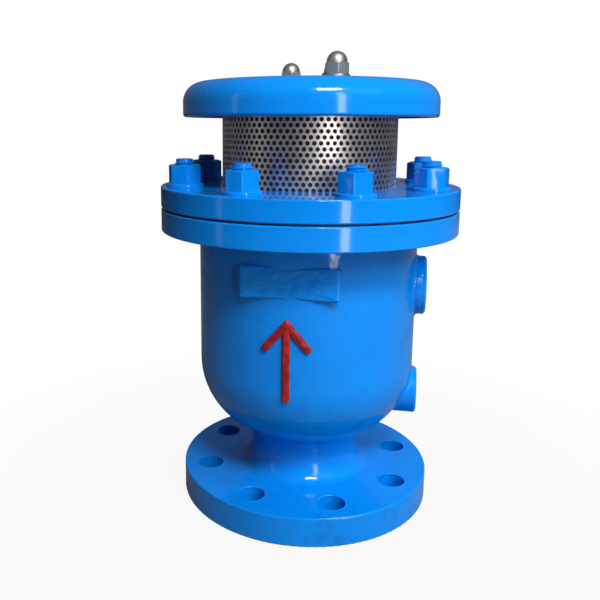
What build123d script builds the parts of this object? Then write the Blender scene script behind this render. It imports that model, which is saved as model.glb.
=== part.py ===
from build123d import *
import math
import os

# A flanged air release valve for a pipeline, standing on its inlet flange.
# Z is 0 on the inlet's sealing face, the valve's axis is Z, and its front faces -Y.

# Inlet flange: the DN 80 size for 64 bar
inlet_flange_diameter = 215.0
inlet_rim_thickness = 24.0
raised_face_height = 3.0
raised_face_hole_gap = 5.0
inlet_bore_diameter = 80.0
inlet_bolt_edge_distance = 22.5
inlet_hole_diameter = 22.0
inlet_hole_count = 8

# Cast body: a neck, a dished bowl and a straight barrel
neck_wall = 6.0
body_diameter = 184.6
body_wall = 10.0
bowl_knuckle_radius = 65.0
bowl_crown_radius = 110.0
bowl_rim_rise = 96.0
barrel_length = 112.6
neck_foot_fillet = 9.0
neck_bowl_fillet = 8.0
barrel_flange_fillet = 5.0
boss_root_fillet = 3.0
edge_round = 1.2

# Body flange, gasket and cover flange, held by studs
cover_flange_width = 32.2
body_flange_thickness = 18.4
gasket_thickness = 1.6
gasket_inset = 2.0
cover_thickness = 17.0
cover_bolt_edge_distance = 19.0
cover_stud_count = 8
cover_stud_clocking = 2.75
cover_stud_diameter = 16.0
cover_stud_point = 1.5
cover_stud_foot_gap = 1.0
cover_hole_diameter = 18.0
cover_stud_rise = 22.7
cover_nut_flats = 24.0
cover_nut_height = 15.0
cover_washer_diameter = 30.0
cover_washer_thickness = 3.0
cover_washer_clearance = 0.5

# Flat pad cast on the front of the barrel, its middle sunk just below the barrel's skin
pad_width = 76.0
pad_height = 25.0
pad_drop = 29.1
pad_sink = 0.45
pad_turn = -1.3
pad_corner_round = 3.0
pad_edge_round = 1.2

# Two bosses on the +X side, each with a flush threaded plug
upper_boss_diameter = 49.0
upper_boss_drop = 45.6
upper_boss_stand = 8.2
upper_port_diameter = 33.2
lower_boss_diameter = 39.0
lower_boss_drop = 26.0
lower_boss_stand = 4.2
lower_port_diameter = 26.4
boss_edge_chamfer = 1.5
plug_length = 16.0
plug_sink = 1.0
upper_plug_key_flats = 17.0
lower_plug_key_flats = 12.0
plug_key_depth = 9.0

# Outlet seat inside the cover; the outlet's bore is what the seat leaves open
seat_width = 14.0
spigot_depth = 6.0
spigot_clearance = 0.3
seat_thickness = 10.0
seat_screw_gap = 1.0
retainer_overlap = 6.0
retainer_thickness = 5.0
retainer_cage_gap = 1.0
retainer_screw_edge = 5.0
retainer_screw_count = 6
retainer_screw_clocking = 30.0
retainer_screw_diameter = 5.0
retainer_screw_head_diameter = 9.2
retainer_screw_length = 12.0
retainer_hole_clearance = 0.2

# Hollow float ball in its cage; the cage fills the body's bore and the ball fills the cage
float_guide_gap = 3.5
float_wall = 1.5
float_travel = 40.0
float_seat_gap = 0.3
cage_wall = 2.0
cage_body_gap = 1.8
cage_rim_margin = 7.0
cage_rim_thickness = 3.0
cage_floor_thickness = 2.0
cage_floor_opening_diameter = 60.0
cage_window_count = 8
cage_window_width = 30.0
cage_window_height = 82.0
cage_window_bottom_margin = 14.0
cage_drain_count = 8
cage_drain_diameter = 11.0
cage_drain_circle = 92.0
cage_bolt_count = 4
cage_bolt_clocking = 45.0
cage_bolt_wall_gap = 8.0
cage_bolt_diameter = 8.0
cage_bolt_flats = 13.0
cage_bolt_head_height = 5.3
cage_bolt_grip = 14.0
cage_hole_clearance = 0.3

# Perforated guard screen between the cover and the cap, lined with a fine gauze
cap_stud_screen_gap = 19.8
screen_wall = 1.0
screen_groove_depth = 1.0
screen_groove_clearance = 0.2
liner_wall = 0.6

# Domed rain cap
cap_overhang = 32.4
cap_lip_rise = 55.7
cap_knuckle_rise = 12.0
cap_knuckle_radius = 16.0
cap_crown_radius = 1200.0
cap_wall = 6.0
cap_lip_round = 2.5
cap_land_width = 11.0
cap_land_rise = 21.2

# Cap studs with a lock nut below the cap, a washer and a domed nut above it
cap_stud_outlet_gap = 13.0
cap_stud_angles = (299.0, 75.0, 116.0)
cap_stud_diameter = 10.0
cap_stud_embed = 10.0
cap_hole_diameter = 11.0
cap_pad_diameter = 30.0
cap_spot_face_diameter = 21.0
cap_spot_face_cut = 0.5
cap_washer_diameter = 20.0
cap_washer_thickness = 2.0
cap_nut_flats = 17.0
lock_nut_height = 8.0
dome_nut_height = 17.0
dome_nut_hex_height = 8.0
dome_nut_dome_diameter = 16.0
dome_nut_thread_depth = 12.0
dome_nut_end_gap = 1.0

# Radial room between a thread and its tapped hole
thread_clearance = 0.05


# Heights and radii that follow from the sizes above
inlet_flange_top = raised_face_height + inlet_rim_thickness
inlet_bore_radius = inlet_bore_diameter / 2
inlet_bolt_radius = inlet_flange_diameter / 2 - inlet_bolt_edge_distance
raised_face_radius = inlet_bolt_radius - inlet_hole_diameter / 2 - raised_face_hole_gap
neck_radius = inlet_bore_radius + neck_wall
body_radius = body_diameter / 2
body_bore_radius = body_radius - body_wall
bowl_rim_height = inlet_flange_top + bowl_rim_rise
body_flange_underside = bowl_rim_height + barrel_length
body_top = body_flange_underside + body_flange_thickness
upper_boss_height = body_flange_underside - upper_boss_drop
lower_boss_height = bowl_rim_height - lower_boss_drop
upper_boss_reach = body_radius + upper_boss_stand
lower_boss_reach = body_radius + lower_boss_stand
cover_bottom = body_top + gasket_thickness
cover_top = cover_bottom + cover_thickness
cover_flange_radius = body_radius + cover_flange_width
cover_bolt_radius = cover_flange_radius - cover_bolt_edge_distance
spigot_bottom = cover_bottom - spigot_depth
cage_rim_radius = body_bore_radius - cage_body_gap
cage_bolt_radius = cage_rim_radius - cage_rim_margin
cage_wall_radius = cage_bolt_radius - cage_bolt_wall_gap
cage_inner_radius = cage_wall_radius - cage_wall
float_radius = cage_inner_radius - float_guide_gap
retainer_outer_radius = cage_inner_radius - retainer_cage_gap
retainer_screw_radius = retainer_outer_radius - retainer_screw_edge
seat_outer_radius = retainer_screw_radius - retainer_screw_diameter / 2 - seat_screw_gap
retainer_inner_radius = seat_outer_radius - retainer_overlap
outlet_radius = seat_outer_radius - seat_width
cap_stud_radius = outlet_radius + cap_stud_outlet_gap
screen_outer_radius = cap_stud_radius + cap_stud_screen_gap
liner_outer_radius = screen_outer_radius - screen_wall - screen_groove_clearance
cap_radius = screen_outer_radius + cap_overhang
cap_lip_height = cover_top + cap_lip_rise
cap_knuckle_height = cap_lip_height + cap_knuckle_rise
cap_land_height = cap_lip_height + cap_land_rise
screen_bottom = cover_top - screen_groove_depth
screen_top = cap_land_height + screen_groove_depth

# The ball closes when it meets the seat's lower inner edge
closed_float_height = spigot_bottom - math.sqrt(float_radius**2 - outlet_radius**2)
rest_float_height = closed_float_height - float_seat_gap - float_travel
float_drop_in_floor = math.sqrt(float_radius**2 - (cage_floor_opening_diameter / 2) ** 2)
cage_floor_top = rest_float_height - float_drop_in_floor - float_seat_gap

# The crown arc of the bowl and of the cap are tangent to their knuckle arcs
bowl_knuckle_offset = body_radius - bowl_knuckle_radius
bowl_crown_center = bowl_rim_height + math.sqrt(
    (bowl_crown_radius - bowl_knuckle_radius) ** 2 - bowl_knuckle_offset**2
)
cap_knuckle_offset = cap_radius - cap_knuckle_radius
cap_crown_center = cap_knuckle_height - math.sqrt(
    (cap_crown_radius - cap_knuckle_radius) ** 2 - cap_knuckle_offset**2
)
cap_spot_face_height = (
    cap_crown_center + math.sqrt(cap_crown_radius**2 - cap_stud_radius**2) - cap_spot_face_cut
)


# Half section of a ring, as radius and height
def band(inner_radius, outer_radius, bottom, top):
    width = outer_radius - inner_radius
    height = top - bottom
    return Pos(inner_radius + width / 2, bottom + height / 2) * Rectangle(width, height)


# Solid turned about the valve's axis from a half section
def turned(section):
    return revolve(Plane.XZ * section, Axis.Z)


def ring(inner_radius, outer_radius, bottom, top):
    return turned(band(inner_radius, outer_radius, bottom, top))


# Half section with some of its corners rounded, each given as radius, height and fillet
def rounded(section, corners):
    for corner_radius, corner_height, fillet_radius in corners:
        corner = section.vertices().sort_by_distance((corner_radius, corner_height, 0))[0]
        section = fillet(corner, fillet_radius)
    return section


def round_bar(radius, bottom, top):
    return Pos(0, 0, bottom) * extrude(Circle(radius), top - bottom)


# Upright hexagonal bar with the flats facing +-Y, corners turned off at the chosen ends
def hex_bar(flats, bottom, top, chamfer_bottom=True, chamfer_top=True):
    corner_radius = flats / math.sqrt(3)
    bar = Pos(0, 0, bottom) * extrude(RegularPolygon(corner_radius, 6), top - bottom)
    turned_off = corner_radius - flats / 2 * 0.95
    drop = turned_off * math.tan(math.radians(30))
    section = band(0, corner_radius, bottom, top)
    if chamfer_top:
        section = chamfer_corner(section, corner_radius, top, drop, turned_off)
    if chamfer_bottom:
        section = chamfer_corner(section, corner_radius, bottom, drop, turned_off)
    return bar & turned(section)


# Cuts a corner of a half section by a height and a width
def chamfer_corner(section, corner_radius, corner_height, height, width):
    inward = -1 if corner_height > section.center().Y else 1
    corner = (corner_radius, corner_height)
    wedge = Polyline(
        corner,
        (corner_radius - width, corner_height),
        (corner_radius, corner_height + inward * height),
        corner,
    )
    return section - make_face(wedge)


# Places copies of an upright piece on a circle about the valve's axis
def on_circle(piece, radius, angles):
    return [Rot(0, 0, angle) * Pos(radius, 0, 0) * piece for angle in angles]


def even_angles(count, first):
    return [first + 360 / count * step for step in range(count)]


# Half section of the vessel, inset from its outer skin, from a low spout up to an open top
def vessel_section(inset, spout_radius, spout_bottom, top):
    join = math.degrees(math.atan2(bowl_rim_height - bowl_crown_center, bowl_knuckle_offset))
    crown_arc = CenterArc((0, bowl_crown_center), bowl_crown_radius - inset, -90, 90 + join)
    knuckle = bowl_knuckle_radius - inset
    knuckle_arc = CenterArc((bowl_knuckle_offset, bowl_rim_height), knuckle, join, -join)
    outline = [
        Line((0, top), crown_arc @ 0),
        crown_arc,
        knuckle_arc,
        Polyline(knuckle_arc @ 1, (body_radius - inset, top), (0, top)),
    ]
    return make_face(Curve() + outline) + band(0, spout_radius, spout_bottom, bowl_rim_height)


# Height of the bowl's outer skin at a radius, on its crown arc or on its knuckle arc
def bowl_skin_height(radius):
    on_crown = bowl_crown_center - math.sqrt(bowl_crown_radius**2 - radius**2)
    if radius <= bowl_knuckle_offset:
        return on_crown
    reach = radius - bowl_knuckle_offset
    on_knuckle = bowl_rim_height - math.sqrt(bowl_knuckle_radius**2 - reach**2)
    return max(on_crown, on_knuckle)


# A boss on the +X side, from inside the wall out to its turned face
def side_boss(diameter, height, reach):
    root = body_bore_radius - 2 * body_wall
    boss = extrude(Circle(diameter / 2), reach - root)
    boss = chamfer(boss.edges().sort_by(Axis.Z)[-1], boss_edge_chamfer)
    return Pos(root, 0, height) * Rot(0, 90, 0) * boss


# Edges of a joined body that lie both on its old skin and on what was added
def root_edges(joined, skin, added):
    return [
        edge
        for edge in joined.edges()
        if skin.distance_to(edge @ 0.5) < 0.001 and added.distance_to(edge @ 0.5) < 0.001
        and skin.distance_to(edge @ 0.25) < 0.001 and added.distance_to(edge @ 0.25) < 0.001
    ]


def side_bore(diameter, height, reach):
    return Pos(0, 0, height) * Rot(0, 90, 0) * extrude(Circle(diameter / 2), reach + body_wall)


cover_stud_angles = even_angles(cover_stud_count, 90 + 180 / cover_stud_count + cover_stud_clocking)
inlet_hole_angles = even_angles(inlet_hole_count, 90 + 180 / inlet_hole_count)
retainer_screw_angles = even_angles(retainer_screw_count, retainer_screw_clocking)
cage_bolt_angles = even_angles(cage_bolt_count, cage_bolt_clocking)


def make_valve_body():
    flange_radius = inlet_flange_diameter / 2
    neck_top = bowl_skin_height(neck_radius)
    section = vessel_section(0, neck_radius, 0, body_top)
    section += band(0, raised_face_radius, 0, raised_face_height)
    section += band(0, flange_radius, raised_face_height, inlet_flange_top)
    section += band(0, cover_flange_radius, body_flange_underside, body_top)
    section = rounded(
        section,
        [
            (neck_radius, inlet_flange_top, neck_foot_fillet),
            (neck_radius, neck_top, neck_bowl_fillet),
            (body_radius, body_flange_underside, barrel_flange_fillet),
            (flange_radius, inlet_flange_top, edge_round),
            (flange_radius, raised_face_height, edge_round),
            (cover_flange_radius, body_flange_underside, edge_round),
            (cover_flange_radius, body_top, edge_round),
        ],
    )
    body = turned(section)
    for boss in (
        side_boss(upper_boss_diameter, upper_boss_height, upper_boss_reach),
        side_boss(lower_boss_diameter, lower_boss_height, lower_boss_reach),
    ):
        skin = body
        body += boss
        body = fillet(root_edges(body, skin, boss), boss_root_fillet)
    body += front_pad()
    body -= turned(vessel_section(body_wall, inlet_bore_radius, 0, body_top))
    body -= side_bore(upper_port_diameter, upper_boss_height, upper_boss_reach)
    body -= side_bore(lower_port_diameter, lower_boss_height, lower_boss_reach)
    inlet_hole = round_bar(inlet_hole_diameter / 2, 0, inlet_flange_top)
    body -= on_circle(inlet_hole, inlet_bolt_radius, inlet_hole_angles)
    tapped_hole = round_bar(cover_stud_diameter / 2 + thread_clearance, body_flange_underside, body_top)
    body -= on_circle(tapped_hole, cover_bolt_radius, cover_stud_angles)
    return body


# The pad's middle merges with the barrel and its ends stand proud
def front_pad():
    face = RectangleRounded(pad_width, pad_height, pad_corner_round)
    block = extrude(face, body_radius - pad_sink - body_bore_radius)
    block = fillet(block.edges().group_by(Axis.Z)[-1], pad_edge_round)
    upright = Pos(0, -body_bore_radius, body_flange_underside - pad_drop) * Rot(90, 0, 0)
    return Rot(0, 0, pad_turn) * upright * block


def make_cover_gasket():
    gasket = ring(
        body_bore_radius + gasket_inset, cover_flange_radius - gasket_inset, body_top, cover_bottom
    )
    hole = round_bar(cover_hole_diameter / 2, body_top, cover_bottom)
    return gasket - on_circle(hole, cover_bolt_radius, cover_stud_angles)


def make_cover_flange():
    spigot_radius = body_bore_radius - spigot_clearance
    section = band(outlet_radius, cover_flange_radius, cover_bottom, cover_top)
    section += band(outlet_radius, spigot_radius, spigot_bottom, cover_bottom)
    section -= band(outlet_radius, seat_outer_radius, spigot_bottom, spigot_bottom + seat_thickness)
    section -= screen_groove_section(screen_bottom, cover_top)
    section = rounded(
        section,
        [
            (cover_flange_radius, cover_bottom, edge_round),
            (cover_flange_radius, cover_top, edge_round),
        ],
    )
    cover = turned(section)
    stud_hole = round_bar(cover_hole_diameter / 2, cover_bottom, cover_top)
    cover -= on_circle(stud_hole, cover_bolt_radius, cover_stud_angles)
    cap_stud_hole = round_bar(cap_stud_diameter / 2 + thread_clearance, cover_top - cap_stud_embed, cover_top)
    cover -= on_circle(cap_stud_hole, cap_stud_radius, cap_stud_angles)
    screw_hole = round_bar(
        retainer_screw_diameter / 2 + thread_clearance,
        spigot_bottom,
        spigot_bottom - retainer_thickness + retainer_screw_length,
    )
    cover -= on_circle(screw_hole, retainer_screw_radius, retainer_screw_angles)
    bolt_hole = round_bar(
        cage_bolt_diameter / 2 + thread_clearance,
        spigot_bottom,
        spigot_bottom - cage_rim_thickness + cage_bolt_grip,
    )
    cover -= on_circle(bolt_hole, cage_bolt_radius, cage_bolt_angles)
    return cover


def screen_groove_section(bottom, top):
    return band(
        screen_outer_radius - screen_wall - screen_groove_clearance,
        screen_outer_radius + screen_groove_clearance,
        bottom,
        top,
    )


def make_cover_studs():
    bottom = body_flange_underside + cover_stud_foot_gap
    stud = round_bar(cover_stud_diameter / 2, bottom, cover_top + cover_stud_rise)
    stud = chamfer(stud.edges().sort_by(Axis.Z)[-1], cover_stud_point)
    return on_circle(stud, cover_bolt_radius, cover_stud_angles)


def make_cover_washers():
    hole_radius = cover_stud_diameter / 2 + cover_washer_clearance
    top = cover_top + cover_washer_thickness
    washer = ring(hole_radius, cover_washer_diameter / 2, cover_top, top)
    return on_circle(washer, cover_bolt_radius, cover_stud_angles)


def make_cover_nuts():
    bottom = cover_top + cover_washer_thickness
    nut = hex_bar(cover_nut_flats, bottom, bottom + cover_nut_height, chamfer_bottom=False)
    nut -= round_bar(cover_stud_diameter / 2 + thread_clearance, bottom, bottom + cover_nut_height)
    return on_circle(nut, cover_bolt_radius, cover_stud_angles)


def make_seat_ring():
    return ring(outlet_radius, seat_outer_radius, spigot_bottom, spigot_bottom + seat_thickness)


def screw_head_cone(bottom, clearance):
    head_radius = retainer_screw_head_diameter / 2 + clearance
    shank_radius = retainer_screw_diameter / 2 + clearance
    height = head_radius - shank_radius
    return Pos(0, 0, bottom + height / 2) * Cone(head_radius, shank_radius, height)


def make_seat_retainer():
    bottom = spigot_bottom - retainer_thickness
    section = band(retainer_inner_radius, retainer_outer_radius, bottom, spigot_bottom)
    retainer = turned(section)
    hole = round_bar(retainer_screw_diameter / 2 + retainer_hole_clearance, bottom, spigot_bottom)
    hole += screw_head_cone(bottom, retainer_hole_clearance)
    return retainer - on_circle(hole, retainer_screw_radius, retainer_screw_angles)


def make_retainer_screws():
    bottom = spigot_bottom - retainer_thickness
    screw = round_bar(retainer_screw_diameter / 2, bottom, bottom + retainer_screw_length)
    screw += screw_head_cone(bottom, 0)
    return on_circle(screw, retainer_screw_radius, retainer_screw_angles)


def make_float_cage():
    floor_bottom = cage_floor_top - cage_floor_thickness
    section = band(cage_inner_radius, cage_wall_radius, floor_bottom, spigot_bottom)
    section += band(cage_floor_opening_diameter / 2, cage_wall_radius, floor_bottom, cage_floor_top)
    section += band(cage_inner_radius, cage_rim_radius, spigot_bottom - cage_rim_thickness, spigot_bottom)
    cage = turned(section)
    window_center = cage_floor_top + cage_window_bottom_margin + cage_window_height / 2
    window = extrude(SlotOverall(cage_window_height, cage_window_width), cage_rim_radius)
    window = Pos(0, 0, window_center) * Rot(0, 90, 0) * window
    cage -= [Rot(0, 0, angle) * window for angle in even_angles(cage_window_count, 0)]
    drain = round_bar(cage_drain_diameter / 2, floor_bottom, cage_floor_top)
    cage -= on_circle(drain, cage_drain_circle / 2, even_angles(cage_drain_count, 0))
    hole_radius = cage_bolt_diameter / 2 + cage_hole_clearance
    bolt_hole = round_bar(hole_radius, spigot_bottom - cage_rim_thickness, spigot_bottom)
    cage -= on_circle(bolt_hole, cage_bolt_radius, cage_bolt_angles)
    return cage


def make_cage_bolts():
    head_top = spigot_bottom - cage_rim_thickness
    bolt = hex_bar(cage_bolt_flats, head_top - cage_bolt_head_height, head_top, chamfer_top=False)
    bolt += round_bar(cage_bolt_diameter / 2, head_top, head_top + cage_bolt_grip)
    return on_circle(bolt, cage_bolt_radius, cage_bolt_angles)


# Half of the hollow ball; the two halves meet at the welded equator
def float_half(upper):
    ball = Sphere(float_radius) - Sphere(float_radius - float_wall)
    side = 1 if upper else -1
    width = 4 * float_radius
    keep = Pos(0, 0, side * float_radius) * Box(width, width, 2 * float_radius)
    return Pos(0, 0, rest_float_height) * (ball & keep)


def make_screen():
    return ring(screen_outer_radius - screen_wall, screen_outer_radius, screen_bottom, screen_top)


def make_screen_liner():
    return ring(liner_outer_radius - liner_wall, liner_outer_radius, cover_top, cap_land_height)


# Half section of the domed cap, inset from its outer skin, open at the lip
def cap_section(inset):
    crown = cap_crown_radius - inset
    knuckle = cap_knuckle_radius - inset
    join = math.degrees(math.atan2(cap_knuckle_height - cap_crown_center, cap_knuckle_offset))
    knuckle_arc = CenterArc((cap_knuckle_offset, cap_knuckle_height), knuckle, 0, join)
    crown_arc = CenterArc((0, cap_crown_center), crown, join, 90 - join)
    outline = [
        Polyline((0, cap_lip_height), (cap_radius - inset, cap_lip_height), knuckle_arc @ 0),
        knuckle_arc,
        crown_arc,
        Line(crown_arc @ 1, (0, cap_lip_height)),
    ]
    return make_face(Curve() + outline)


def make_dome_cap():
    inner = cap_section(cap_wall)
    section = rounded(cap_section(0), [(cap_radius, cap_lip_height, cap_lip_round)])
    shell = turned(section) - turned(inner)
    land_middle = screen_outer_radius
    land_half = cap_land_width / 2
    land = band(land_middle - land_half, land_middle + land_half, cap_land_height, cap_spot_face_height)
    land -= screen_groove_section(cap_land_height, screen_top)
    stud_pad = round_bar(cap_pad_diameter / 2, cap_land_height, cap_spot_face_height)
    under_pads = turned(land) + on_circle(stud_pad, cap_stud_radius, cap_stud_angles)
    cap = shell + (under_pads & turned(cap_section(cap_wall / 2)))
    hole = round_bar(cap_hole_diameter / 2, cap_land_height, cap_spot_face_height)
    hole += round_bar(cap_spot_face_diameter / 2, cap_spot_face_height, cap_spot_face_height + cap_wall)
    return cap - on_circle(hole, cap_stud_radius, cap_stud_angles)


def make_cap_studs():
    nut_bottom = cap_spot_face_height + cap_washer_thickness
    top = nut_bottom + dome_nut_thread_depth - dome_nut_end_gap
    stud = round_bar(cap_stud_diameter / 2, cover_top - cap_stud_embed, top)
    return on_circle(stud, cap_stud_radius, cap_stud_angles)


def make_cap_lock_nuts():
    bottom = cap_land_height - lock_nut_height
    nut = hex_bar(cap_nut_flats, bottom, cap_land_height)
    nut -= round_bar(cap_stud_diameter / 2 + thread_clearance, bottom, cap_land_height)
    return on_circle(nut, cap_stud_radius, cap_stud_angles)


def make_cap_washers():
    washer = ring(
        cap_hole_diameter / 2,
        cap_washer_diameter / 2,
        cap_spot_face_height,
        cap_spot_face_height + cap_washer_thickness,
    )
    return on_circle(washer, cap_stud_radius, cap_stud_angles)


def make_cap_dome_nuts():
    bottom = cap_spot_face_height + cap_washer_thickness
    dome_radius = dome_nut_dome_diameter / 2
    dome_base = bottom + dome_nut_height - dome_radius
    nut = hex_bar(cap_nut_flats, bottom, bottom + dome_nut_hex_height, chamfer_bottom=False)
    nut += round_bar(dome_radius, bottom + dome_nut_hex_height, dome_base)
    nut += Pos(0, 0, dome_base) * Sphere(dome_radius)
    nut -= round_bar(cap_stud_diameter / 2 + thread_clearance, bottom, bottom + dome_nut_thread_depth)
    return on_circle(nut, cap_stud_radius, cap_stud_angles)


# Flush threaded plug with a hexagonal key socket in its outer face
def port_plug(port_diameter, height, reach, key_flats):
    plug = extrude(Circle(port_diameter / 2 - thread_clearance), plug_length)
    socket = extrude(RegularPolygon(key_flats / math.sqrt(3), 6), plug_key_depth)
    plug -= Pos(0, 0, plug_length - plug_key_depth) * socket
    return Pos(reach - plug_sink - plug_length, 0, height) * Rot(0, 90, 0) * plug


def save(node, shape):
    solids = shape if isinstance(shape, list) else [shape]
    export_step(Compound([solid for item in solids for solid in item.solids()]), f"parts/{node}.step")


os.makedirs("parts", exist_ok=True)
save("valve_body", make_valve_body())
save("cover_gasket", make_cover_gasket())
save("cover_flange", make_cover_flange())
save("cover_studs", make_cover_studs())
save("cover_washers", make_cover_washers())
save("cover_nuts", make_cover_nuts())
save("seat_ring", make_seat_ring())
save("seat_retainer", make_seat_retainer())
save("retainer_screws", make_retainer_screws())
save("float_cage", make_float_cage())
save("cage_bolts", make_cage_bolts())
save("float_upper_shell", float_half(upper=True))
save("float_lower_shell", float_half(upper=False))
save("screen", make_screen())
save("screen_liner", make_screen_liner())
save("dome_cap", make_dome_cap())
save("cap_studs", make_cap_studs())
save("cap_lock_nuts", make_cap_lock_nuts())
save("cap_washers", make_cap_washers())
save("cap_dome_nuts", make_cap_dome_nuts())
save(
    "upper_port_plug",
    port_plug(upper_port_diameter, upper_boss_height, upper_boss_reach, upper_plug_key_flats),
)
save(
    "drain_plug",
    port_plug(lower_port_diameter, lower_boss_height, lower_boss_reach, lower_plug_key_flats),
)
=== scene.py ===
import math
import random

import bmesh
import bpy
from mathutils import Matrix, Vector, noise


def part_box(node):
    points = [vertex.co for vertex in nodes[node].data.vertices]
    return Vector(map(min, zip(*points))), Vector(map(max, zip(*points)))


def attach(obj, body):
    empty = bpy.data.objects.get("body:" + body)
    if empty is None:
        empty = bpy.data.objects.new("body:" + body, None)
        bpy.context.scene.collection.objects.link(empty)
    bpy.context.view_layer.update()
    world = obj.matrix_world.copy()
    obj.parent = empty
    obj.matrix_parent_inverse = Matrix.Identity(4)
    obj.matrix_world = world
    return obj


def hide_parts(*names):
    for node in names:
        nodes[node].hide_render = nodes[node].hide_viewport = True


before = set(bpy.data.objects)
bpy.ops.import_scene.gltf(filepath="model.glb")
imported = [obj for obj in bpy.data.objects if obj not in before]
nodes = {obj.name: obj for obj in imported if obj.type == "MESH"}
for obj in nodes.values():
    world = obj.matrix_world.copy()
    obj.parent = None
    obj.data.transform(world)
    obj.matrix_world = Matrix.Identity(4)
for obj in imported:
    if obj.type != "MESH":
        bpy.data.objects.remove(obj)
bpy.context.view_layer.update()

print("frame loaded:", len(nodes), "nodes")


# Shader maths

class Wire:  # a socket that takes part in plain arithmetic
    def __init__(self, sheet, socket):
        self.sheet = sheet
        self.socket = socket

    def math(self, operation, other=None, clamp=False, swapped=False):
        pair = [self] if other is None else [self, other]
        if swapped:
            pair.reverse()
        settings = {"operation": operation, "use_clamp": clamp}
        return self.sheet.add("ShaderNodeMath", settings, dict(enumerate(pair)))

    def __add__(self, other):
        return self.math("ADD", other)

    def __sub__(self, other):
        return self.math("SUBTRACT", other)

    def __mul__(self, other):
        return self.math("MULTIPLY", other)

    def __truediv__(self, other):
        return self.math("DIVIDE", other)

    def __radd__(self, other):
        return self.math("ADD", other, swapped=True)

    def __rsub__(self, other):
        return self.math("SUBTRACT", other, swapped=True)

    def __rmul__(self, other):
        return self.math("MULTIPLY", other, swapped=True)

    def __rtruediv__(self, other):
        return self.math("DIVIDE", other, swapped=True)

    def above(self, edge, soft=0.0):
        if soft == 0.0:
            return self.math("GREATER_THAN", edge)
        return ((self - (edge - soft / 2)) / soft).math("ADD", 0.0, clamp=True)

    def below(self, edge, soft=0.0):
        return 1 - self.above(edge, soft)


class Sheet:  # one material's node tree, with a single way to add a node
    def __init__(self, name):
        self.material = bpy.data.materials.new(name)
        self.material.use_nodes = True
        self.tree = self.material.node_tree
        self.tree.nodes.clear()
        self.place = self.add("ShaderNodeTexCoord", {}, {}, output="Object")
        parts = self.tree.nodes.new("ShaderNodeSeparateXYZ")
        self.tree.links.new(self.place.socket, parts.inputs[0])
        self.x, self.y, self.z = [Wire(self, parts.outputs[i]) for i in range(3)]

    def add(self, kind, settings, values, output=0):
        node = self.tree.nodes.new(kind)
        for name, value in settings.items():
            if name == "stops":
                self.stops(node.color_ramp, value)
            else:
                setattr(node, name, value)
        for name, value in values.items():
            if isinstance(value, Wire):
                self.tree.links.new(value.socket, node.inputs[name])
            else:
                node.inputs[name].default_value = value
        return Wire(self, node.outputs[output]) if len(node.outputs) else None

    def stops(self, ramp, stops):
        while len(ramp.elements) < len(stops):
            ramp.elements.new(0.5)
        for element, (position, color) in zip(ramp.elements, stops):
            element.position = position
            element.color = color

    def radius(self):
        return (self.x * self.x + self.y * self.y).math("SQRT")

    def turn(self):
        return self.y.math("ARCTAN2", self.x)

    def noise(self, scale, detail=3.0, roughness=0.5, distortion=0.0, place=None):
        values = {"Scale": scale, "Detail": detail, "Roughness": roughness, "Distortion": distortion}
        values["Vector"] = place or self.place
        return self.add("ShaderNodeTexNoise", {"noise_dimensions": "3D"}, values)

    def cells(self, scale, feature="F1", place=None):
        values = {"Scale": scale, "Vector": place or self.place}
        return self.add("ShaderNodeTexVoronoi", {"feature": feature}, values)

    def ramp(self, value, stops):
        return self.add("ShaderNodeValToRGB", {"stops": stops}, {0: value})

    def mix(self, factor, first, second, blend="MIX"):
        node = self.tree.nodes.new("ShaderNodeMix")
        node.data_type = "RGBA"
        node.blend_type = blend
        for index, value in ((0, factor), (6, first), (7, second)):
            if isinstance(value, Wire):
                self.tree.links.new(value.socket, node.inputs[index])
            elif index == 0:
                node.inputs[0].default_value = value
            else:
                node.inputs[index].default_value = (*value, 1.0)
        return Wire(self, node.outputs[2])

    def bump(self, height, depth, under=None):
        values = {"Height": height, "Distance": depth, "Strength": 1.0}
        if under is not None:
            values["Normal"] = under
        return self.add("ShaderNodeBump", {}, values)

    def finish(self, values, constants):
        shader = self.tree.nodes.new("ShaderNodeBsdfPrincipled")
        for name, value in constants.items():
            shader.inputs[name].default_value = value
        for name, value in values.items():
            self.tree.links.new(value.socket, shader.inputs[name])
        output = self.tree.nodes.new("ShaderNodeOutputMaterial")
        self.tree.links.new(shader.outputs[0], output.inputs[0])
        return self.material


# Blue enamel over cast and machined steel

machined = {"steel": (0.33, 0.33, 0.335), "faceTop": 0.0028, "faceReach": 0.0700, "grooves": 7800.0}

enamel = {
    "blue": (0.0010, 0.242, 0.790),
    "deepBlue": (0.0010, 0.182, 0.650),
    "speck": (0.20, 0.42, 0.66),
    "grime": (0.004, 0.045, 0.170),
    "gloss": 0.09,
    "castFrom": 0.026,
    "castTo": 0.232,
    "castRadius": 0.0980,
    "neckReach": 0.0680,
    "castWave": 0.0015,
    "peelDepth": 0.00004,
}


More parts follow.
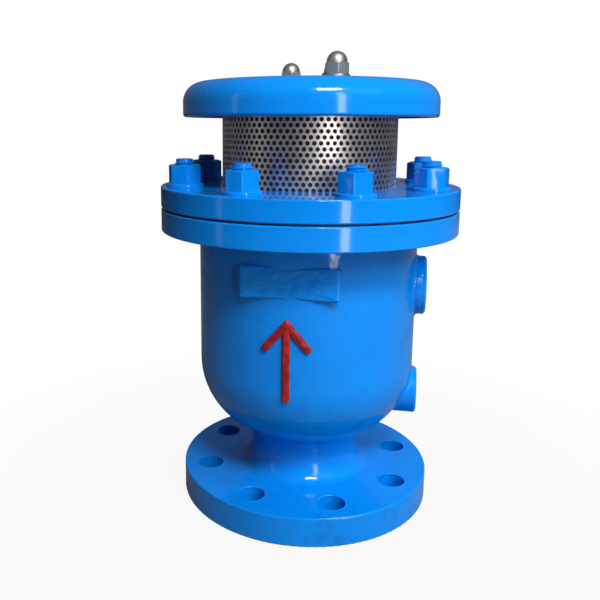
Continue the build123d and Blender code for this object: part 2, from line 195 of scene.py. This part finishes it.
def enamelFinish(name, cast):
    s = Sheet(name)
    tone = s.noise(9.0, 4.0, 0.6)
    streak = s.noise(26.0, 2.0, 0.5)
    color = s.mix((tone * 1.6 - 0.35).math("ADD", 0.0, clamp=True), enamel["deepBlue"], enamel["blue"])
    speck = s.cells(700.0).below(0.13, 0.05) * s.noise(60.0).above(0.60, 0.06)
    color = s.mix(speck * 0.35, color, enamel["speck"])
    grime = s.noise(55.0, 5.0, 0.65).above(0.60, 0.12) * s.noise(7.0).above(0.50, 0.15)
    color = s.mix(grime * 0.22, color, enamel["grime"])
    roughness = enamel["gloss"] + streak * 0.07 + speck * 0.2
    peel = s.noise(430.0, 2.0, 0.5) * 0.6 + s.noise(1500.0, 1.0, 0.5) * 0.15
    normal = s.bump(peel, enamel["peelDepth"])
    if cast:
        band = s.z.above(enamel["castFrom"], 0.006) * s.z.below(enamel["castTo"], 0.004)
        nearNeck = s.radius().below(enamel["neckReach"], 0.010)
        skin = s.radius().below(enamel["castRadius"], 0.004) * band * (nearNeck + s.z.above(0.030)).math("MINIMUM", 1.0)
        lumps = (s.noise(34.0, 3.0, 0.55) * 0.7 + s.noise(120.0, 2.0, 0.5) * 0.18) * skin
        normal = s.bump(lumps, enamel["castWave"], normal)
    values = {"Base Color": color, "Roughness": roughness, "Normal": normal}
    if cast:
        face = s.z.below(machined["faceTop"]) * s.radius().below(machined["faceReach"])
        grooves = (s.radius() * machined["grooves"]).math("SINE")
        values["Base Color"] = s.mix(face, color, machined["steel"])
        values["Metallic"] = face
        values["Normal"] = s.bump(grooves * face, 0.00008, normal)
    constants = {"IOR": 1.45, "Specular IOR Level": 0.28, "Coat Weight": 0.22, "Coat Roughness": 0.04}
    return s.finish(values, constants)


# Stainless steel, bright on the nuts and brown-grey on the guard screen

steel = {
    "bright": (0.60, 0.585, 0.56),
    "dull": (0.36, 0.345, 0.325),
    "screenLight": (0.97, 0.90, 0.85),
    "screenDark": (0.66, 0.60, 0.56),
    "ball": (0.66, 0.65, 0.63),
    "satin": (0.66, 0.645, 0.62),
}


def steelFinish(name, light, dark, gloss, brushed=0.0):
    s = Sheet(name)
    cloud = s.noise(70.0, 4.0, 0.6)
    long = s.add("ShaderNodeMapping", {}, {"Vector": s.place, "Scale": (260.0, 260.0, 2600.0)})
    scratches = s.noise(1.0, 3.0, 0.7, place=long)
    color = s.mix((cloud * 1.8 - 0.4).math("ADD", 0.0, clamp=True), dark, light)
    roughness = gloss + cloud * 0.14 + scratches * 0.10
    normal = s.bump(scratches * brushed + cloud * 0.3, 0.00003)
    return s.finish(
        {"Base Color": color, "Roughness": roughness, "Normal": normal}, {"Metallic": 1.0}
    )


def rubberFinish(name, tint):
    s = Sheet(name)
    grain = s.noise(900.0, 3.0, 0.6)
    dust = s.noise(40.0, 4.0, 0.6).above(0.56, 0.2)
    lighter = tuple(0.05 + channel for channel in tint)
    color = s.mix(dust * 0.35, tint, lighter)
    roughness = 0.55 + grain * 0.2
    normal = s.bump(grain, 0.00005)
    return s.finish({"Base Color": color, "Roughness": roughness, "Normal": normal}, {"IOR": 1.5})


def redFinish(name):
    s = Sheet(name)
    patch = s.noise(160.0, 4.0, 0.6)
    color = s.mix(patch.above(0.52, 0.2), (0.20, 0.005, 0.006), (0.40, 0.012, 0.010))
    bare = s.noise(420.0, 3.0, 0.6).above(0.68, 0.03)
    color = s.mix(bare * 0.7, color, (0.03, 0.06, 0.16))
    normal = s.bump(s.noise(500.0, 2.0, 0.5), 0.00006)
    return s.finish({"Base Color": color, "Roughness": 0.12 + patch * 0.15, "Normal": normal}, {"IOR": 1.5})


# Fine woven wire behind the guard screen: near-black wires and openings are painted shade standing for the dark inside
# seen through the holes, and dust lightens the wires

gauze = {"wire": (0.070, 0.062, 0.056), "paintedShadeGap": (0.006, 0.006, 0.007), "acrossTurn": 900.0, "upright": 12500.0}


def gauzeFinish(name):
    s = Sheet(name)
    warp = (s.turn() * gauze["acrossTurn"]).math("SINE")
    weft = (s.z * gauze["upright"]).math("SINE")
    weave = (warp * weft).math("ABSOLUTE")
    dust = s.noise(90.0, 3.0, 0.6)
    # painted shade: the weave's openings are near black, standing for the unlit inside of the valve
    color = s.mix(weave * (0.4 + dust * 0.6), gauze["paintedShadeGap"], gauze["wire"])
    return s.finish({"Base Color": color, "Roughness": 0.45 + dust * 0.3}, {"Metallic": 0.4})


castEnamel = enamelFinish("castEnamel", True)
plainEnamel = enamelFinish("plainEnamel", False)
brightSteel = steelFinish("brightSteel", steel["bright"], steel["dull"], 0.14, 1.0)
ballSteel = steelFinish("ballSteel", steel["ball"], steel["bright"], 0.10, 0.4)
satinSteel = steelFinish("satinSteel", steel["satin"], steel["bright"], 0.34, 0.6)
screenSteel = steelFinish("screenSteel", steel["screenLight"], steel["screenDark"], 0.27, 1.0)
gasketSheet = rubberFinish("gasketSheet", (0.006, 0.012, 0.030))
seatRubber = rubberFinish("seatRubber", (0.02, 0.02, 0.02))
castRed = redFinish("castRed")
gauzeWithPaintedShade = gauzeFinish("gauzeWithPaintedShade")

nodeFinish = {
    "valve_body": castEnamel,
    "cover_gasket": gasketSheet,
    "cover_flange": plainEnamel,
    "cover_studs": plainEnamel,
    "cover_washers": plainEnamel,
    "cover_nuts": plainEnamel,
    "seat_ring": seatRubber,
    "seat_retainer": brightSteel,
    "retainer_screws": brightSteel,
    "float_cage": brightSteel,
    "cage_bolts": brightSteel,
    "float_upper_shell": ballSteel,
    "float_lower_shell": ballSteel,
    "screen": screenSteel,
    "screen_liner": gauzeWithPaintedShade,
    "dome_cap": plainEnamel,
    "cap_studs": brightSteel,
    "cap_lock_nuts": brightSteel,
    "cap_washers": satinSteel,
    "cap_dome_nuts": satinSteel,
    "upper_port_plug": plainEnamel,
    "drain_plug": plainEnamel,
}
for nodeName, finish in nodeFinish.items():
    mesh = nodes[nodeName].data
    mesh.materials.clear()
    mesh.materials.append(finish)
print("finishes given to", len(nodeFinish), "nodes")


# Turns a bmesh into a finished piece that rides on a body

def piece(name, bm, finish, body, slot, *replaced, smooth=30.0):
    mesh = bpy.data.meshes.new(name)
    bmesh.ops.recalc_face_normals(bm, faces=bm.faces)
    bm.to_mesh(mesh)
    bm.free()
    mesh.materials.append(finish)
    made = bpy.data.objects.new(name, mesh)
    bpy.context.scene.collection.objects.link(made)
    mesh.shade_smooth()
    mesh.set_sharp_from_angle(angle=math.radians(smooth))
    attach(made, body)
    if replaced:
        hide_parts(*replaced)
    return made


# Guard screen: rolled sheet with staggered round holes

screenSheet = {
    "holesAround": 90,
    "rowPitch": 0.00435,
    "holeRadius": 0.00174,
    "holeSides": 12,
    "thickness": 0.0010,
}


def perforatedScreen():
    low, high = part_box("screen")
    radius = (high.x - low.x) / 2
    pitch = 2 * math.pi * radius / screenSheet["holesAround"]
    rows = int((high.z - low.z) / screenSheet["rowPitch"])
    rowHeight = (high.z - low.z) / rows
    bm = bmesh.new()
    bmesh.ops.create_grid(bm, x_segments=4, y_segments=2, size=0.5)
    bmesh.ops.scale(bm, vec=(pitch, rowHeight, 1), verts=bm.verts)
    inner = [v for v in bm.verts if not v.is_boundary]
    bmesh.ops.delete(bm, geom=inner, context="VERTS")
    outline = list(bm.edges)
    hole = bmesh.ops.create_circle(bm, segments=screenSheet["holeSides"], radius=screenSheet["holeRadius"])
    rim = {e for v in hole["verts"] for e in v.link_edges}
    bmesh.ops.bridge_loops(bm, edges=outline + list(rim))
    around = screenSheet["holesAround"]
    repeated(bm, [Vector((column * pitch, rowHeight / 2, 0)) for column in range(around)])
    repeated(bm, [Vector(((row % 2) / 2 * pitch, row * rowHeight, 0)) for row in range(rows)])
    for v in bm.verts:
        turn = v.co.x / radius
        v.co = Vector((radius * math.cos(turn), radius * math.sin(turn), low.z + v.co.y))
    bmesh.ops.remove_doubles(bm, verts=bm.verts, dist=0.00005)
    bmesh.ops.recalc_face_normals(bm, faces=bm.faces)
    bmesh.ops.solidify(bm, geom=bm.faces, thickness=screenSheet["thickness"])
    return piece("guardScreen", bm, screenSteel, "valve", "screen_steel", "screen", smooth=35.0)


# Leaves a copy of everything in the bmesh at each shift, in place of the first one

def repeated(bm, shifts):
    first = bm.verts[:] + bm.edges[:] + bm.faces[:]
    for shift in shifts:
        copied = bmesh.ops.duplicate(bm, geom=first)
        moved = [g for g in copied["geom"] if isinstance(g, bmesh.types.BMVert)]
        bmesh.ops.translate(bm, vec=shift, verts=moved)
    bmesh.ops.delete(bm, geom=[g for g in first if isinstance(g, bmesh.types.BMVert)], context="VERTS")


guardScreen = perforatedScreen()
print("screen faces:", len(guardScreen.data.polygons))


# Rounded washer or ring, spun from a half section about an upright axis

def spun(bm, outline, steps, close=False):
    made = [bm.verts.new((r, 0, z)) for r, z in outline]
    edges = [bm.edges.new(pair) for pair in zip(made, made[1:])]
    if close:
        edges.append(bm.edges.new((made[-1], made[0])))
    spin = {"cent": (0, 0, 0), "axis": (0, 0, 1), "angle": 2 * math.pi, "steps": steps, "use_merge": True}
    bmesh.ops.spin(bm, geom=made + edges, **spin)
    bmesh.ops.remove_doubles(bm, verts=bm.verts, dist=0.000005)


def arc(centerR, centerZ, radius, start, end, count):
    turns = [math.radians(start + (end - start) * i / count) for i in range(count + 1)]
    return [(centerR + radius * math.cos(t), centerZ + radius * math.sin(t)) for t in turns]


# Copies a bmesh to several places, each with its own turn about the upright axis

def placeCopies(bm, places):
    first = bm.verts[:] + bm.edges[:] + bm.faces[:]
    for x, y, turn in places:
        copied = bmesh.ops.duplicate(bm, geom=first)
        verts = [g for g in copied["geom"] if isinstance(g, bmesh.types.BMVert)]
        bmesh.ops.rotate(bm, verts=verts, matrix=Matrix.Rotation(math.radians(turn), 3, "Z"))
        bmesh.ops.translate(bm, verts=verts, vec=(x, y, 0))
    bmesh.ops.delete(bm, geom=[g for g in first if isinstance(g, bmesh.types.BMVert)], context="VERTS")


# Centres of the separate solids in a CAD node, seen from above

def centers(node):
    bm = bmesh.new()
    bm.from_mesh(nodes[node].data)
    bmesh.ops.remove_doubles(bm, verts=bm.verts, dist=0.00001)
    left = set(bm.verts)
    found = []
    while left:
        group, edge = set(), [left.pop()]
        while edge:
            v = edge.pop()
            group.add(v)
            for e in v.link_edges:
                other = e.other_vert(v)
                if other in left:
                    left.discard(other)
                    edge.append(other)
        xs = [v.co.x for v in group]
        ys = [v.co.y for v in group]
        found.append(((min(xs) + max(xs)) / 2, (min(ys) + max(ys)) / 2))
    bm.free()
    return sorted(found, key=lambda c: math.atan2(c[1], c[0]))


# Hexagon nut: corners turned off at 30 degrees, edges softened by paint

coverNut = {"flats": 0.024, "edge": 0.0006, "turned": 0.0012, "corners": 6}


def hexNut(flats, low, high, edge, turned, chamferLow, steps=48):
    radius = flats / math.sqrt(3)
    bm = bmesh.new()
    bmesh.ops.create_cone(bm, cap_ends=True, segments=6, radius1=radius, radius2=radius, depth=high - low)
    bmesh.ops.translate(bm, verts=bm.verts, vec=(0, 0, (high + low) / 2))
    upright = [e for e in bm.edges if abs(e.verts[0].co.z - e.verts[1].co.z) > 0.001]
    bevel = {"offset": edge, "segments": 3, "profile": 0.5, "affect": "EDGES", "material": -1}
    bmesh.ops.bevel(bm, geom=upright, **bevel)
    drop = turned * math.tan(math.radians(30)) * 2
    outline = [(0, high), (radius - 2 * turned, high), (radius, high - drop)]
    outline += [(radius, low + drop), (radius - 2 * turned, low)] if chamferLow else [(radius, low)]
    outline.append((0, low))
    cutter = bmesh.new()
    spun(cutter, outline, steps)
    bmesh.ops.recalc_face_normals(cutter, faces=cutter.faces)
    result = common(bm, cutter)
    bmesh.ops.dissolve_limit(result, angle_limit=0.02, verts=result.verts, edges=result.edges)
    return result


# What two closed shapes share

def common(first, second):
    made = []
    for index, bm in enumerate((first, second)):
        mesh = bpy.data.meshes.new("shape")
        bm.to_mesh(mesh)
        bm.free()
        made.append(bpy.data.objects.new("shape", mesh))
        bpy.context.scene.collection.objects.link(made[index])
    modifier = made[0].modifiers.new("share", "BOOLEAN")
    modifier.operation = "INTERSECT"
    modifier.solver = "EXACT"
    modifier.object = made[1]
    shown = made[0].evaluated_get(bpy.context.evaluated_depsgraph_get())
    result = bmesh.new()
    result.from_mesh(shown.to_mesh())
    shown.to_mesh_clear()
    for shape in made:
        bpy.data.meshes.remove(shape.data)
    return result


def turnTo(place):
    return math.degrees(math.atan2(place[1], place[0]))


def makeCoverNuts():
    low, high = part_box("cover_nuts")
    bm = hexNut(coverNut["flats"], low.z, high.z, coverNut["edge"], coverNut["turned"], False)
    turns = random.Random(5)
    places = [(x, y, turnTo((x, y)) + turns.uniform(-4, 4)) for x, y in centers("cover_nuts")]
    placeCopies(bm, places)
    return piece("coverNuts", bm, plainEnamel, "valve", "enamel", "cover_nuts", smooth=28.0)


def makeCoverWashers():
    low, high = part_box("cover_washers")
    washer = {"outer": 0.015, "hole": 0.0085, "round": 0.0008}
    soft = washer["round"]
    outline = [(washer["hole"], low.z), (washer["outer"], low.z)]
    outline += arc(washer["outer"] - soft, high.z - soft, soft, 0, 90, 4)
    outline += [(washer["hole"], high.z)]
    bm = bmesh.new()
    spun(bm, outline, 48, close=True)
    placeCopies(bm, [(x, y, 0) for x, y in centers("cover_washers")])
    return piece("coverWashers", bm, plainEnamel, "valve", "enamel", "cover_washers")


# Stud with a rolled helical thread

coverStud = {"crest": 0.0080, "root": 0.00695, "pitch": 0.0020, "threads": 6, "steps": 28, "point": 0.0012}


def makeCoverStuds():
    low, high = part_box("cover_studs")
    root, point = coverStud["root"], coverStud["point"]
    shank = high.z - (coverStud["threads"] + 1) * coverStud["pitch"]
    bm = bmesh.new()
    outline = [(0, low.z), (coverStud["crest"], low.z), (coverStud["crest"], shank), (root, shank)]
    outline += [(root, high.z - 0.0004), (root - point, high.z), (0, high.z)]
    spun(bm, outline, coverStud["steps"])
    pitch = coverStud["pitch"]
    sunk = root - 0.0003
    ridge = [(sunk, 0), (sunk, pitch * 0.86), (coverStud["crest"], pitch * 0.50), (coverStud["crest"], pitch * 0.36)]
    start = [bm.verts.new((r, 0, shank - pitch * 0.4 + z)) for r, z in ridge]
    face = bm.faces.new(start)
    spin = {"cent": (0, 0, 0), "axis": (0, 0, 1), "dvec": (0, 0, pitch / coverStud["steps"])}
    turns = coverStud["threads"]
    bmesh.ops.spin(bm, geom=[face], angle=2 * math.pi * turns, steps=coverStud["steps"] * turns, **spin)
    turnsAbout = random.Random(11)
    placeCopies(bm, [(x, y, turnsAbout.uniform(0, 360)) for x, y in centers("cover_studs")])
    return piece("coverStuds", bm, plainEnamel, "valve", "enamel", "cover_studs", smooth=40.0)


# Domed cap nuts: a hexagon with a polished ball end

domeNut = {"flats": 0.017, "hexHeight": 0.0085, "edge": 0.0003, "turned": 0.0008, "dome": 0.0079, "thread": 0.0052}


def makeDomeNuts():
    low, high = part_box("cap_dome_nuts")
    top = low.z + domeNut["hexHeight"]
    bm = hexNut(domeNut["flats"], low.z, top, domeNut["edge"], domeNut["turned"], True)
    dome = domeNut["dome"]
    outline = [(0, top - 0.002), (dome, top - 0.002), (dome, high.z - dome)]
    outline += arc(0, high.z - dome, dome, 8, 90, 12)
    spun(bm, outline, 40)
    places = [(x, y, turnTo((x, y)) + 13) for x, y in centers("cap_dome_nuts")]
    placeCopies(bm, places)
    return piece("domeNuts", bm, satinSteel, "valve", "stainless", "cap_dome_nuts", smooth=28.0)


# Raised flow arrow cast on the front of the barrel and painted red

flowArrow = {
    "low": 0.114,
    "high": 0.180,
    "stroke": 0.0058,
    "armLength": 0.0310,
    "armSlope": 50.0,
    "raise": 0.0030,
    "turn": -92.0,
    "soft": 0.0020,
    "slices": 24,
}


def makeFlowArrow():
    a = flowArrow
    slope = math.radians(a["armSlope"])
    side = a["stroke"] / 2
    tip = (a["armLength"] * math.cos(slope), a["high"] - a["armLength"] * math.sin(slope))
    back = (tip[0] - a["stroke"] * math.sin(slope), tip[1] - a["stroke"] * math.cos(slope))
    root = back[1] + (back[0] - side) * math.tan(slope)
    half = [(0, a["high"]), tip, back, (side, root), (side, a["low"])]
    outline = half + [(-u, z) for u, z in reversed(half) if u]
    bm = bmesh.new()
    face = bm.faces.new([bm.verts.new((u, z, 0)) for u, z in outline])
    raised = bmesh.ops.extrude_face_region(bm, geom=[face])
    lifted = [g for g in raised["geom"] if isinstance(g, bmesh.types.BMVert)]
    bmesh.ops.translate(bm, verts=lifted, vec=(0, 0, a["raise"] + 0.001))
    rim = [e for e in bm.edges if all(v.co.z > a["raise"] for v in e.verts)]
    sides = [e for e in bm.edges if abs(e.verts[0].co.z - e.verts[1].co.z) > 0.0005]
    bevel = {"offset": a["soft"], "segments": 4, "profile": 0.5, "affect": "EDGES", "material": -1}
    bmesh.ops.bevel(bm, geom=rim + sides, **bevel)
    bmesh.ops.triangulate(bm, faces=bm.faces)
    for cut in range(1, a["slices"]):
        across = (cut / a["slices"] - 0.5) * 2 * tip[0]
        whole = bm.verts[:] + bm.edges[:] + bm.faces[:]
        bmesh.ops.bisect_plane(bm, geom=whole, plane_co=(across, 0, 0), plane_no=(1, 0, 0))
    wall = barrelRadius() - 0.001
    for v in bm.verts:
        turn = math.radians(a["turn"]) + v.co.x / wall
        reach = wall + v.co.z
        v.co = Vector((reach * math.cos(turn), reach * math.sin(turn), v.co.y))
    return piece("flowArrow", bm, castRed, "valve", "enamel", smooth=40.0)


# Radius of the straight barrel, read on the side away from the bosses

def barrelRadius():
    spots = [v.co for v in nodes["valve_body"].data.vertices]
    return max(-spot.x for spot in spots if 0.10 < spot.z < 0.23)


# Rough cast skin on the front pad

frontPad = {
    "width": 0.0750,
    "height": 0.0240,
    "centerZ": 0.2065,
    "face": 0.09185,
    "turn": -1.3,
    "across": 150,
    "up": 64,
    "skin": 0.00060,
    "ripple": 0.00060,
    "fine": 0.00120,
    "creases": 0.00060,
    "edge": 0.0013,
}


def makePadSkin():
    p = frontPad
    bm = bmesh.new()
    bmesh.ops.create_grid(bm, x_segments=p["across"], y_segments=p["up"], size=0.5)
    bmesh.ops.scale(bm, vec=(p["width"], p["height"], 1), verts=bm.verts)
    for v in bm.verts:
        inward = min(p["width"] / 2 - abs(v.co.x), p["height"] / 2 - abs(v.co.y)) / p["edge"]
        held = math.sin(min(1.0, inward) * math.pi / 2)
        slow = noise.noise(Vector((v.co.x * 70, v.co.y * 150, 3.1)))
        quick = noise.noise(Vector((v.co.x * 120 + slow, v.co.y * 340 + slow * 2, 7.7)))
        crease = 1 - abs(noise.noise(Vector((v.co.x * 70, v.co.y * 430 + slow * 3, 1.3)))) * 3
        lift = p["skin"] + slow * p["ripple"] * 0.5 + quick * p["fine"] * 0.5 + crease * p["creases"] * 0.5
        v.co.z = held * max(0.0001, lift) - (1 - held) * 0.0006
    upright = Matrix.Rotation(math.radians(90), 3, "X")
    bmesh.ops.rotate(bm, verts=bm.verts, matrix=upright)
    bmesh.ops.translate(bm, verts=bm.verts, vec=(0, -p["face"], p["centerZ"]))
    bmesh.ops.rotate(bm, verts=bm.verts, matrix=Matrix.Rotation(math.radians(p["turn"]), 3, "Z"))
    made = piece("padSkin", bm, castEnamel, "valve", "enamel", smooth=60.0)
    return made


# Paint gathered round the rims of the flange holes

holeLip = {"radius": 0.0110, "bead": 0.0009, "count": 8, "first": 22.5, "circle": 0.085, "sides": 10, "steps": 48}


def makeHoleLips():
    h = holeLip
    low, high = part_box("valve_body")
    top = flangeTop()
    bm = bmesh.new()
    last = 360 - 360 / h["sides"]
    outline = arc(h["radius"] + h["bead"] * 0.6, top - h["bead"] * 0.7, h["bead"], 0, last, h["sides"] - 1)
    spun(bm, outline, h["steps"], close=True)
    turns = [math.radians(h["first"] + 360 / h["count"] * i) for i in range(h["count"])]
    placeCopies(bm, [(h["circle"] * math.cos(t), h["circle"] * math.sin(t), 0) for t in turns])
    return piece("holeLips", bm, plainEnamel, "valve", "enamel", smooth=60.0)


# Wide cast flare where the neck runs out on to the inlet flange

neckFlare = {"neck": 0.0460, "spread": 0.0125, "rise": 0.0230, "sunk": 0.0004, "points": 16, "steps": 96}


def makeNeckFlare():
    f = neckFlare
    top = flangeTop()
    outline = [(f["neck"] - f["sunk"], top - f["sunk"]), (f["neck"] - f["sunk"], top + f["rise"])]
    for index in range(f["points"] + 1):
        turn = math.pi / 2 * index / f["points"]
        across = f["neck"] + f["spread"] * (1 - math.cos(turn))
        outline.append((across, top + f["rise"] * (1 - math.sin(turn))))
    outline.append((f["neck"] + f["spread"], top - f["sunk"]))
    bm = bmesh.new()
    spun(bm, outline, f["steps"], close=True)
    return piece("neckFlare", bm, castEnamel, "valve", "enamel", smooth=50.0)


# Height of the inlet flange's top, read from the rim of its holes

def flangeTop():
    spots = [v.co for v in nodes["valve_body"].data.vertices]
    onRim = [spot.z for spot in spots if spot.z < 0.04 and abs(spot.xy.length - holeLip["circle"]) < 0.011]
    return max(onRim)


# Lap seam down the back of the guard screen, with its row of spot welds

lapSeam = {"turn": 98.0, "width": 0.011, "thickness": 0.0009, "welds": 9, "weldRadius": 0.0020, "weldRise": 0.00035}


def makeLapSeam():
    j = lapSeam
    low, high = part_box("screen")
    cover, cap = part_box("cover_flange")[1].z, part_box("cap_lock_nuts")[1].z
    radius = (high.x - low.x) / 2
    bm = bmesh.new()
    bmesh.ops.create_grid(bm, x_segments=8, y_segments=1, size=0.5)
    bmesh.ops.scale(bm, vec=(j["width"], cap - cover, 1), verts=bm.verts)
    bmesh.ops.solidify(bm, geom=bm.faces, thickness=-j["thickness"])
    bmesh.ops.translate(bm, verts=bm.verts, vec=(0, (cap + cover) / 2, 0.00005))
    for index in range(j["welds"]):
        height = cover + (cap - cover) * (index + 0.5) / j["welds"]
        made = bmesh.ops.create_uvsphere(bm, u_segments=16, v_segments=8, radius=j["weldRadius"])
        bmesh.ops.scale(bm, verts=made["verts"], vec=(1, 1, j["weldRise"] / j["weldRadius"]))
        bmesh.ops.translate(bm, verts=made["verts"], vec=(0, height, j["thickness"]))
    for v in bm.verts:
        turn = math.radians(j["turn"]) + v.co.x / radius
        reach = radius + v.co.z
        v.co = Vector((reach * math.cos(turn), reach * math.sin(turn), v.co.y))
    return piece("screenSeam", bm, screenSteel, "valve", "screen_steel", smooth=40.0)


makeCoverNuts()
makeCoverWashers()
makeCoverStuds()
makeDomeNuts()
makeFlowArrow()
makePadSkin()
makeHoleLips()
makeLapSeam()
makeNeckFlare()
print("fasteners and arrow made, barrel radius", round(barrelRadius(), 5))


# Camera at the photograph's place, and soft studio light

shot = {
    "distance": 0.5859,
    "height": 0.3213,
    "azimuth": 7.0,
    "yaw": 4.68,
    "pitch": 10.41,
    "roll": 0.17,
    "lens": 41.15,
    "shiftX": 0.080,
    "shiftY": -0.080,
}


def placeCamera():
    data = bpy.data.cameras.new("photoCamera")
    data.lens = shot["lens"]
    data.sensor_width = 36.0
    data.sensor_fit = "HORIZONTAL"
    data.shift_x = shot["shiftX"]
    data.shift_y = shot["shiftY"]
    camera = bpy.data.objects.new("photoCamera", data)
    bpy.context.scene.collection.objects.link(camera)
    azimuth = math.radians(shot["azimuth"])
    away = Vector((math.sin(azimuth), -math.cos(azimuth), 0)) * shot["distance"]
    heading = Matrix.Rotation(math.radians(shot["azimuth"] + shot["yaw"]), 4, "Z")
    tilt = Matrix.Rotation(math.radians(90 - shot["pitch"]), 4, "X")
    lean = Matrix.Rotation(math.radians(shot["roll"]), 4, "Z")
    place = Matrix.Translation(away + Vector((0, 0, shot["height"])))
    camera.matrix_world = place @ heading @ tilt @ lean
    bpy.context.scene.camera = camera


def areaLight(name, place, target, width, height, watts, color=(1, 1, 1)):
    data = bpy.data.lights.new(name, "AREA")
    data.shape = "RECTANGLE"
    data.size = width
    data.size_y = height
    data.energy = watts
    data.color = color
    lamp = bpy.data.objects.new(name, data)
    bpy.context.scene.collection.objects.link(lamp)
    lamp.location = place
    lamp.rotation_euler = (Vector(target) - Vector(place)).to_track_quat("-Z", "Y").to_euler()
    return lamp


studio = {
    "softbox": ((1.45, -0.95, 1.55), (0, 0, 0.20), 1.20, 1.00, 36.0),
    "strip": ((0.62, -0.98, 0.45), (0, 0, 0.45), 0.12, 0.90, 3.6),
    "window": ((0.44, -0.92, 1.30), (0, 0, 0.30), 0.42, 0.26, 16.0),
    "leftStrip": ((-0.95, -0.62, 0.45), (0, 0, 0.40), 0.10, 0.80, 0.22),
    "backPanel": ((0.70, 1.60, 0.90), (0, 0, 0.20), 1.60, 1.20, 14.0),
    "unmirrored": ("softbox", "backPanel"),
    "worldFill": 0.03,
    "worldGloss": 0.12,
    "paper": 0.22,
    "nearGlow": 0.93,
    "glowFrom": 0.13,
    "glowTo": 0.40,
}


# The world is white to the camera, and dimmer to what lights or mirrors in the valve

def lightStudio():
    for name in ("softbox", "strip", "window", "leftStrip", "backPanel"):
        lamp = areaLight(name, *studio[name])
        lamp.visible_glossy = name not in studio["unmirrored"]
    world = bpy.data.worlds.new("studioWorld")
    bpy.context.scene.world = world
    world.use_nodes = True
    tree = world.node_tree
    tree.nodes.clear()
    ray = tree.nodes.new("ShaderNodeLightPath")
    output = tree.nodes.new("ShaderNodeOutputWorld")
    shown = plainSky(tree, studio["worldFill"])
    for kind, strength in (("Is Glossy Ray", studio["worldGloss"]), ("Is Camera Ray", 1.0)):
        blend = tree.nodes.new("ShaderNodeMixShader")
        tree.links.new(ray.outputs[kind], blend.inputs[0])
        tree.links.new(shown, blend.inputs[1])
        tree.links.new(plainSky(tree, strength), blend.inputs[2])
        shown = blend.outputs[0]
    tree.links.new(shown, output.inputs[0])


def plainSky(tree, strength):
    sky = tree.nodes.new("ShaderNodeBackground")
    sky.inputs[0].default_value = (1, 1, 1, 1)
    sky.inputs[1].default_value = strength
    return sky.outputs[0]


# Pale paper that keeps the shadow near the valve and fades to plain white further out

def layFloor():
    bm = bmesh.new()
    bmesh.ops.create_circle(bm, cap_ends=True, segments=64, radius=6.0)
    mesh = bpy.data.meshes.new("studioFloor")
    bm.to_mesh(mesh)
    bm.free()
    floor = bpy.data.objects.new("studioFloor", mesh)
    bpy.context.scene.collection.objects.link(floor)
    s = Sheet("floorPaper")
    seen = s.add("ShaderNodeLightPath", {}, {}, output="Is Camera Ray")
    near, reach = studio["nearGlow"], studio["glowTo"] - studio["glowFrom"]
    far = ((s.radius() - studio["glowFrom"]) / reach).math("ADD", 0.0, clamp=True)
    paper = s.add("ShaderNodeBsdfDiffuse", {}, {"Color": (studio["paper"],) * 3 + (1,)})
    white = s.add("ShaderNodeEmission", {}, {"Color": (1, 1, 1, 1), "Strength": 1.0})
    shown = s.add("ShaderNodeMixShader", {}, {0: seen * (near + far * (1 - near)), 1: paper, 2: white})
    s.add("ShaderNodeOutputMaterial", {}, {"Surface": shown})
    mesh.materials.append(s.material)


placeCamera()
lightStudio()
layFloor()
bpy.context.scene.view_settings.view_transform = "Standard"
print("camera, light and floor placed")
